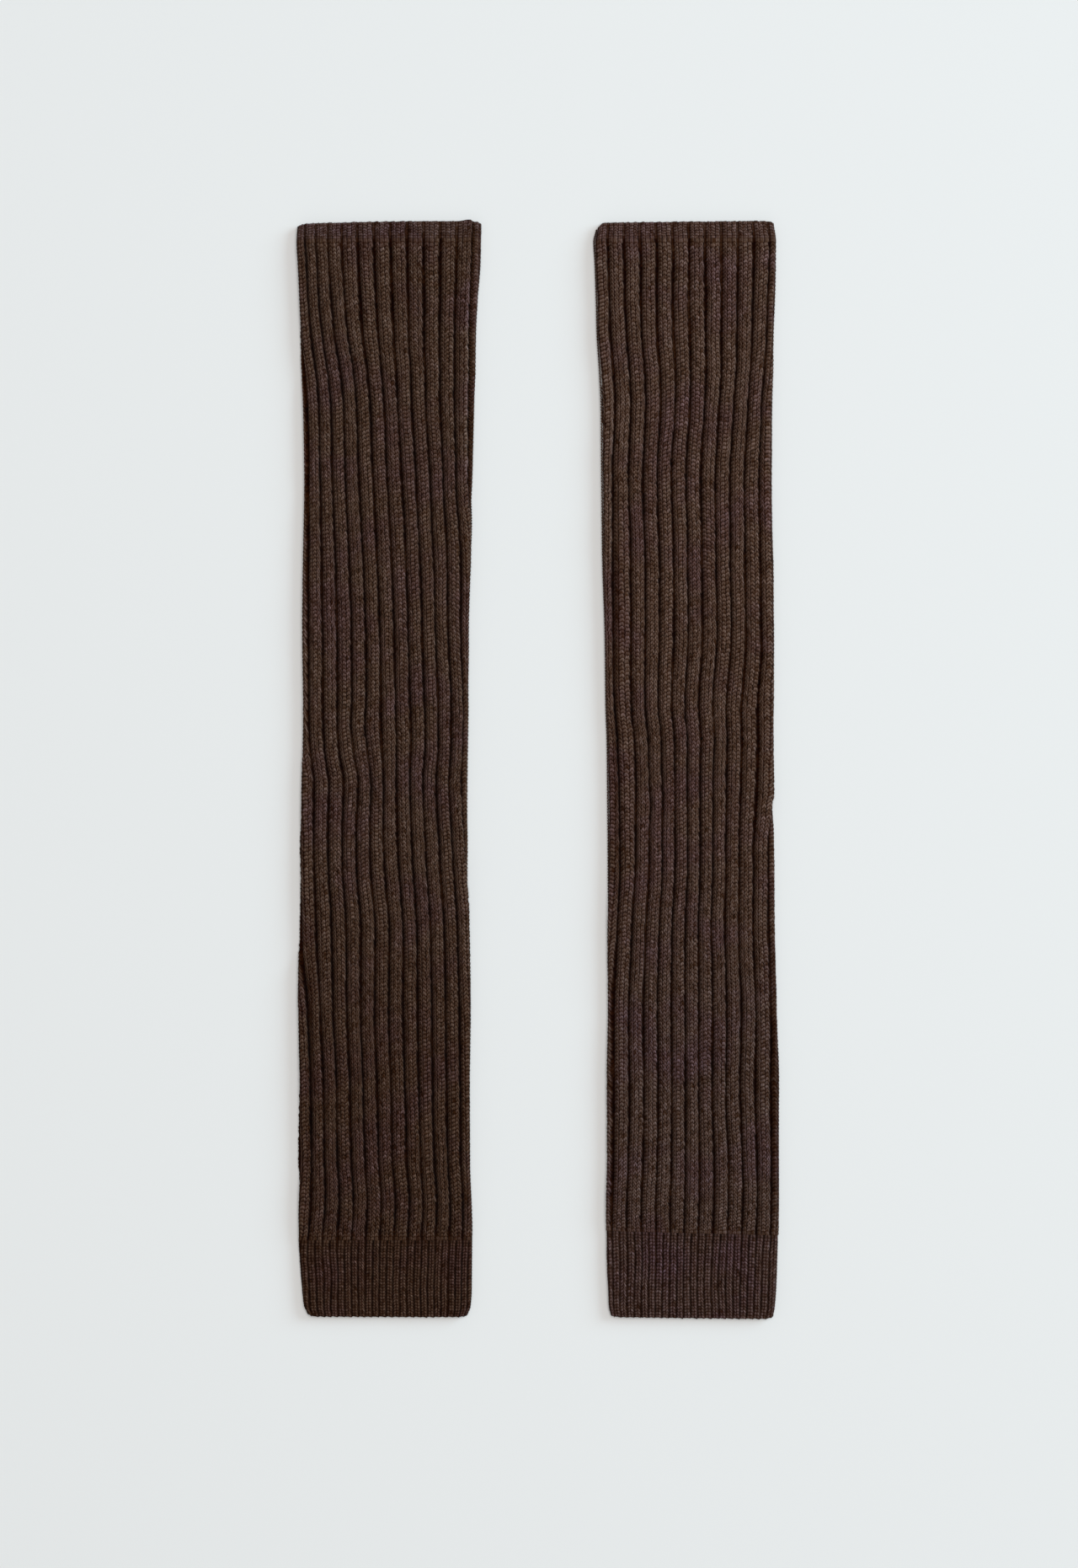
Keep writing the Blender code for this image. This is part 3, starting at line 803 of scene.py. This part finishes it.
def add_mesh(name, points, faces, material):
    """A smooth object with a mesh of its own, in the scene."""
    mesh = bpy.data.meshes.new(name)
    mesh.from_pydata(points.tolist(), [], faces)
    mesh.shade_smooth()
    mesh.materials.append(material)
    thing = bpy.data.objects.new(name, mesh)
    bpy.context.scene.collection.objects.link(thing)
    return thing


def set_shades(mesh, shades, grey):
    """Store each point's painted shade and highlight, with the yarn's tone and greyness, as a colour that
    turns redder where it is darker.
    """
    level = np.maximum(shades, LEAST_SHADE)[:, None]
    colours = level ** np.where(level < 1, np.array(DARK_POWERS), np.array(LIGHT_POWERS))
    colours = colours * np.array(GREYER) ** grey[:, None]
    attribute = mesh.attributes.new("shade", "FLOAT_COLOR", "POINT")
    attribute.data.foreach_set("color", colours.astype(np.float32).ravel())


def knit_shell(side, shell, material):
    """A closed thin shell: the stitched outer side, the plain inner side and a rim at each end."""
    stretch = STRETCHES[shell.part]
    start = stretch.start + shell.first * course_height(stretch)
    end = stretch.start + shell.last * course_height(stretch)
    grid = Knit(side, shell).grid()
    inner, inner_normals = inner_side(side, start, end)
    inner_shares = np.arange(INNER_POINTS) / INNER_POINTS
    rows, columns = grid.shade.shape
    rings = len(inner)
    faces = [
        *grid_faces(rows, columns, 0, False).tolist(),
        *grid_faces(rings, INNER_POINTS, rows * columns, True).tolist(),
    ]
    for row, ring, flip in ((0, 0, False), (rows - 1, rings - 1, True)):
        outer = in_order(grid.share[row], row * columns)
        rim = zip_rim(outer, in_order(inner_shares, rows * columns + ring * INNER_POINTS))
        faces.extend(face[::-1] if flip else face for face in rim)

    points = np.concatenate([grid.points.reshape(-1, 3), inner.reshape(-1, 3)])
    normals = np.concatenate([grid.normals.reshape(-1, 3), inner_normals])
    shades = np.concatenate([grid.shade.reshape(-1), np.full(rings * INNER_POINTS, INNER_SHADE)])
    grey = np.concatenate([grid.grey.reshape(-1), np.zeros(rings * INNER_POINTS)])
    thing = add_mesh(shell.name, points, faces, material)
    thing.data.normals_split_custom_set_from_vertices(normals.tolist())
    set_shades(thing.data, shades, grey)
    return thing


# The side seam is sewn along a valley between ribs, by the fold that faces the other leg warmer: the rib
# count there, and the spacing, reach in ribs, slant, thickness, height and shade of its stitches, which
# cross from rib to rib. The ends of a stitch keep a little of its thickness.
SEAM_COUNT = {"left": 13.99, "right": 1.99}
SEAM_PITCH = 0.0016
SEAM_REACH = 0.075
SEAM_SLANT = 0.0009
SEAM_RADIUS = 0.00046
SEAM_SIDES = 6
SEAM_RINGS = 5
SEAM_HEIGHT = 0.4
SEAM_ARCH = 0.0003
SEAM_END = 0.04
# Each seam stitch's shade is drawn from this range; the left seam's are darker, as painted shade of the
# deep valley that they lie in.
SEAM_SHADE = {"left": (0.35, 0.8), "right": (0.7, 1.3)}


def seam(side, material):
    """The sewing: a row of slanted stitches, each a short arched strand with closed ends."""
    rng = np.random.default_rng(SEAM_SEED + SIDES.index(side))
    middles = np.arange(SEAM_PITCH, LENGTH - SEAM_PITCH, SEAM_PITCH)
    along = np.linspace(-1.0, 1.0, SEAM_RINGS)
    down = middles[:, None] + along * SEAM_SLANT
    count = SEAM_COUNT[side] + along * SEAM_REACH + 0 * down
    ovals = Ovals(side, down)
    x, z, normal_x, normal_z = ovals.point(ovals.length_at(count), 0.0, 0.0, ovals.thickness)
    height = ovals.relief * SEAM_HEIGHT + SEAM_ARCH * (1 - along**2)
    spine = ovals.place(x + height * normal_x, z + height * normal_z, normal_z)
    heading = spine[:, -1] - spine[:, 0]
    heading /= np.linalg.norm(heading, axis=-1, keepdims=True)
    outward = np.stack([normal_x[:, 0], 0 * normal_x[:, 0], normal_z[:, 0]], axis=-1)
    beside = np.cross(heading, outward)
    outward = np.cross(beside, heading)
    turns = np.linspace(0.0, 2 * math.pi, SEAM_SIDES, endpoint=False)
    ring = beside[:, None] * np.cos(turns)[:, None] + outward[:, None] * np.sin(turns)[:, None]
    thick = SEAM_RADIUS * np.sqrt(1 + SEAM_END - along**2)
    points = spine[:, :, None] + ring[:, None] * thick[:, None, None]
    points[..., 2] = np.maximum(points[..., 2], 0.0)
    faces = []
    for stitch in range(len(middles)):
        first = stitch * SEAM_RINGS * SEAM_SIDES
        start = list(range(first, first + SEAM_SIDES))
        end = [number + (SEAM_RINGS - 1) * SEAM_SIDES for number in start]
        faces += [*grid_faces(SEAM_RINGS, SEAM_SIDES, first, True).tolist(), start[::-1], end]
    thing = add_mesh(f"{side}_seam", points.reshape(-1, 3), faces, material)
    shades = np.repeat(rng.uniform(*SEAM_SHADE[side], len(middles)), SEAM_RINGS * SEAM_SIDES)
    set_shades(thing.data, shades, 0 * shades)
    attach(thing, "root")


# Screen colours of each piece's yarn, and what its purple and its olive patches make of them.
YARN_COLOURS = {
    "left_band": (0.276, 0.204, 0.182),
    "left_leg": (0.277, 0.200, 0.161),
    "left_cuff": (0.250, 0.174, 0.136),
    "right_band": (0.285, 0.206, 0.181),
    "right_leg": (0.293, 0.213, 0.176),
    "right_cuff": (0.267, 0.194, 0.173),
}
PURPLE = (0.975, 0.925, 1.07)
OLIVE = (1.00, 1.02, 0.94)

# Noises of the yarn: their scales, in waves to a metre, the values between which they turn from one colour
# or lightness to the other, and their depth in the bump.
PATCH_SCALE = 38.0
PATCH_VALUES = (0.46, 0.66)
FLECK_SCALE = 1900.0
FLECK_VALUES = (0.3, 0.7)
FLECK_RANGE = (0.45, 1.55)
FUZZ_SCALE = 2600.0
FUZZ_DEPTH = 0.00012
FUZZ_STRENGTH = 0.7
COLOUR_DETAIL = 2.0
FUZZ_DETAIL = 3.0

YARN_FINISH = {
    "Roughness": 0.95,
    "Specular IOR Level": 0.02,
    "Sheen Weight": 0.03,
    "Sheen Roughness": 0.5,
    "Sheen Tint": (0.85, 0.72, 0.66, 1.0),
}


def linear(colour):
    """A screen colour as linear light."""
    return [((value + 0.055) / 1.055) ** 2.4 if value > 0.04045 else value / 12.92 for value in colour]


def knit_material(name):
    """Dry brushed yarn: patches of hue, the painted shade and highlight with the yarn's tone from the shade
    attribute, flecks, and fine fuzz in the bump.
    """
    material = bpy.data.materials.new(name + "_yarn")
    material.use_nodes = True
    nodes = material.node_tree.nodes
    links = material.node_tree.links
    shader = nodes["Principled BSDF"]
    place = nodes.new("ShaderNodeTexCoord")

    def noise(scale, detail):
        node = nodes.new("ShaderNodeTexNoise")
        node.inputs["Scale"].default_value = scale
        node.inputs["Detail"].default_value = detail
        links.new(place.outputs["Object"], node.inputs["Vector"])
        return node

    def spread(source, values, results):
        node = nodes.new("ShaderNodeMapRange")
        for socket, value in zip(("From Min", "From Max", "To Min", "To Max"), (*values, *results)):
            node.inputs[socket].default_value = value
        links.new(source.outputs["Fac"], node.inputs["Value"])
        return node.outputs["Result"]

    def mix(mode, factor, first, second):
        node = nodes.new("ShaderNodeMix")
        node.data_type = "RGBA"
        node.blend_type = mode
        sockets = (node.inputs["Factor"], node.inputs[6], node.inputs[7])
        for socket, value in zip(sockets, (factor, first, second)):
            if hasattr(value, "links"):
                links.new(value, socket)
            else:
                socket.default_value = value
        return node.outputs[2]

    base = linear(YARN_COLOURS[name])
    purple = [*(a * b for a, b in zip(base, PURPLE)), 1.0]
    olive = [*(a * b for a, b in zip(base, OLIVE)), 1.0]
    patches = spread(noise(PATCH_SCALE, COLOUR_DETAIL), PATCH_VALUES, (0.0, 1.0))
    hue = mix("MIX", patches, olive, purple)
    shade = nodes.new("ShaderNodeAttribute")
    shade.attribute_name = "shade"
    flecks = spread(noise(FLECK_SCALE, COLOUR_DETAIL), FLECK_VALUES, FLECK_RANGE)
    scaled = nodes.new("ShaderNodeVectorMath")
    scaled.operation = "SCALE"
    links.new(mix("MULTIPLY", 1.0, hue, shade.outputs["Color"]), scaled.inputs[0])
    links.new(flecks, scaled.inputs["Scale"])
    links.new(scaled.outputs[0], shader.inputs["Base Color"])

    bump = nodes.new("ShaderNodeBump")
    bump.inputs["Distance"].default_value = FUZZ_DEPTH
    bump.inputs["Strength"].default_value = FUZZ_STRENGTH
    links.new(noise(FUZZ_SCALE, FUZZ_DETAIL).outputs["Fac"], bump.inputs["Height"])
    links.new(bump.outputs["Normal"], shader.inputs["Normal"])
    for socket, value in YARN_FINISH.items():
        shader.inputs[socket].default_value = value
    return material


# Each side's shells, with the ribs that show knitted closely and the rest with few points.
SHELLS = {
    "left": (
        Shell("left_band_knit", "band", 0, 6, range(1, 15)),
        Shell("left_leg_knit_upper", "leg", 0, 126, range(1, 15)),
        Shell("left_leg_knit_lower", "leg", 126, 252, range(-1, 14)),
        Shell("left_cuff_knit", "cuff", 0, 26, range(0, 13)),
    ),
    "right": (
        Shell("right_band_knit", "band", 0, 6, range(1, 14)),
        Shell("right_leg_knit_upper", "leg", 0, 126, range(1, 15)),
        Shell("right_leg_knit_lower", "leg", 126, 252, range(1, 15)),
        Shell("right_cuff_knit", "cuff", 0, 26, range(2, 15)),
    ),
}


def dress(side, materials):
    """Build one leg warmer's shells and tie them to the frame."""
    for shell in SHELLS[side]:
        node = f"{side}_{shell.part}"
        thing = knit_shell(side, shell, materials[node])
        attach(thing, "root")
        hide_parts(node)
    seam(side, materials[f"{side}_leg"])


def plain_material(name, colour, roughness):
    """A plain matt material for the floor."""
    material = bpy.data.materials.new(name)
    material.use_nodes = True
    shader = material.node_tree.nodes["Principled BSDF"]
    shader.inputs["Base Color"].default_value = (*linear(colour), 1.0)
    shader.inputs["Roughness"].default_value = roughness
    shader.inputs["Specular IOR Level"].default_value = 0.0
    return material


FLOOR_SIZE = 6.0
FLOOR_COLOUR = (0.924, 0.918, 0.908)
FLOOR_DROP = 0.0002


def add_floor():
    """The pale surface that the pair lies on."""
    half = FLOOR_SIZE / 2
    mesh = bpy.data.meshes.new("floor")
    corners = [(-half, -half, 0), (half, -half, 0), (half, half, 0), (-half, half, 0)]
    mesh.from_pydata(corners, [], [(0, 1, 2, 3)])
    mesh.materials.append(plain_material("floor_paper", FLOOR_COLOUR, 1.0))
    floor = bpy.data.objects.new("floor", mesh)
    floor.location.z = -FLOOR_DROP
    bpy.context.scene.collection.objects.link(floor)


# The photograph's frame, from straight above: how much the longer side of the picture shows, and its
# middle.
CAMERA_HEIGHT = 3.0
VIEW_LONG = 0.88695
VIEW_CENTRE = (0.00072, -0.00837)
SENSOR = 36.0


def add_camera():
    """The camera looks straight down, as the photograph does."""
    data = bpy.data.cameras.new("camera")
    data.sensor_width = SENSOR
    data.lens = SENSOR * CAMERA_HEIGHT / VIEW_LONG
    camera = bpy.data.objects.new("camera", data)
    camera.location = (*VIEW_CENTRE, CAMERA_HEIGHT)
    bpy.context.scene.collection.objects.link(camera)
    bpy.context.scene.camera = camera


# A light: its name, place, width, power and colour. A weak fill comes from all round.
Light = namedtuple("Light", "name place size power colour")

LIGHTS = (
    Light("key", (0.5, 0.45, 6.4), 3.5, 251.0, (1.0, 1.0, 1.0)),
    Light("side", (5.0, 2.2, 2.9), 4.0, 186.0, (0.79, 1.04, 1.19)),
)
FILL_STRENGTH = 0.225


def add_light():
    """A soft key from the upper right, a low side light from the right and an even pale fill."""
    for light in LIGHTS:
        data = bpy.data.lights.new(light.name, "AREA")
        data.shape = "DISK"
        data.size = light.size
        data.energy = light.power
        data.color = light.colour
        lamp = bpy.data.objects.new(light.name, data)
        lamp.location = light.place
        lamp.rotation_euler = lamp.location.to_track_quat("Z", "Y").to_euler()
        bpy.context.scene.collection.objects.link(lamp)
    world = bpy.data.worlds.new("studio")
    world.use_nodes = True
    background = world.node_tree.nodes["Background"]
    background.inputs["Color"].default_value = (1.0, 1.0, 1.0, 1.0)
    background.inputs["Strength"].default_value = FILL_STRENGTH
    bpy.context.scene.world = world
    bpy.context.scene.view_settings.view_transform = "Standard"


yarn_materials = {name: knit_material(name) for name in YARN_COLOURS}
for side in SIDES:
    dress(side, yarn_materials)
add_floor()
add_camera()
add_light()
